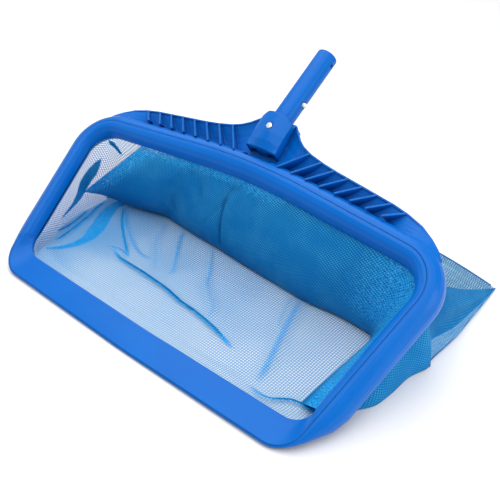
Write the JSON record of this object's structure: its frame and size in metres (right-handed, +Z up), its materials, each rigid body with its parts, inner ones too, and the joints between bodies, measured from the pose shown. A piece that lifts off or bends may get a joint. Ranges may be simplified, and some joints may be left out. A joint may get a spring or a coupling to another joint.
{
  "type": "leaf skimmer net",
  "caption": "Pool leaf skimmer with a wide moulded scoop frame, a deep sewn mesh bag behind its flat lip, and a handle spigot with sprung snap buttons",
  "frame": {"origin": "centre of the bounding box's bottom face, with the skimmer resting on its lip on a floor", "axes": "X runs across the mouth, Y from the lip towards the handle along the floor, Z is up; the mouth plane leans back by 32 degrees from the floor"},
  "size_m": [0.5776, 0.4276, 0.2508],
  "materials": {
    "blue_plastic": "semi-gloss moulded",
    "mesh_cloth": "fine open knitted mesh",
    "seam_tape": "folded mesh tape",
    "spline_cord": "braided cord",
    "screw_steel": "bright",
    "spring_steel": "satin strip",
    "white_acetal": "smooth"
  },
  "bodies": {
    "skimmer": {"frame_body": "blue_plastic", "scoop_ring": "blue_plastic", "handle_tube": "blue_plastic", "socket_screw": "screw_steel", "socket_nut": "screw_steel", "spring_bend": "spring_steel", "mouth_spline": "spline_cord", "net_floor_panel": "mesh_cloth", "net_back_panel": "mesh_cloth", "net_end_panel": "mesh_cloth", "seam_tape_right": "seam_tape", "seam_tape_left": "seam_tape", "seam_tape_end": "seam_tape", "clamp_screw_1": "screw_steel", "clamp_screw_2": "screw_steel", "clamp_screw_3": "screw_steel", "clamp_screw_4": "screw_steel", "clamp_screw_5": "screw_steel", "clamp_screw_6": "screw_steel", "clamp_screw_7": "screw_steel", "clamp_screw_8": "screw_steel"},
    "clip_leg_right": {"spring_leg_right": "spring_steel", "snap_button_right": "white_acetal"},
    "clip_leg_left": {"spring_leg_left": "spring_steel", "snap_button_left": "white_acetal"}
  },
  "joints": [
    {"name": "clip_leg_right", "type": "hinge", "parent": "skimmer", "child": "clip_leg_right", "pos_m": [0.0046, 0.14804, 0.22497], "axis": [0, 0.5299, -0.848], "range_deg": [0, 5.2], "stiffness_Nm_per_rad": 6, "springref_deg": -1.15},
    {"name": "clip_leg_left", "type": "hinge", "parent": "skimmer", "child": "clip_leg_left", "pos_m": [-0.0046, 0.14804, 0.22497], "axis": [0, -0.5299, 0.848], "range_deg": [0, 5.2], "stiffness_Nm_per_rad": 6, "springref_deg": -1.15}
  ]
}
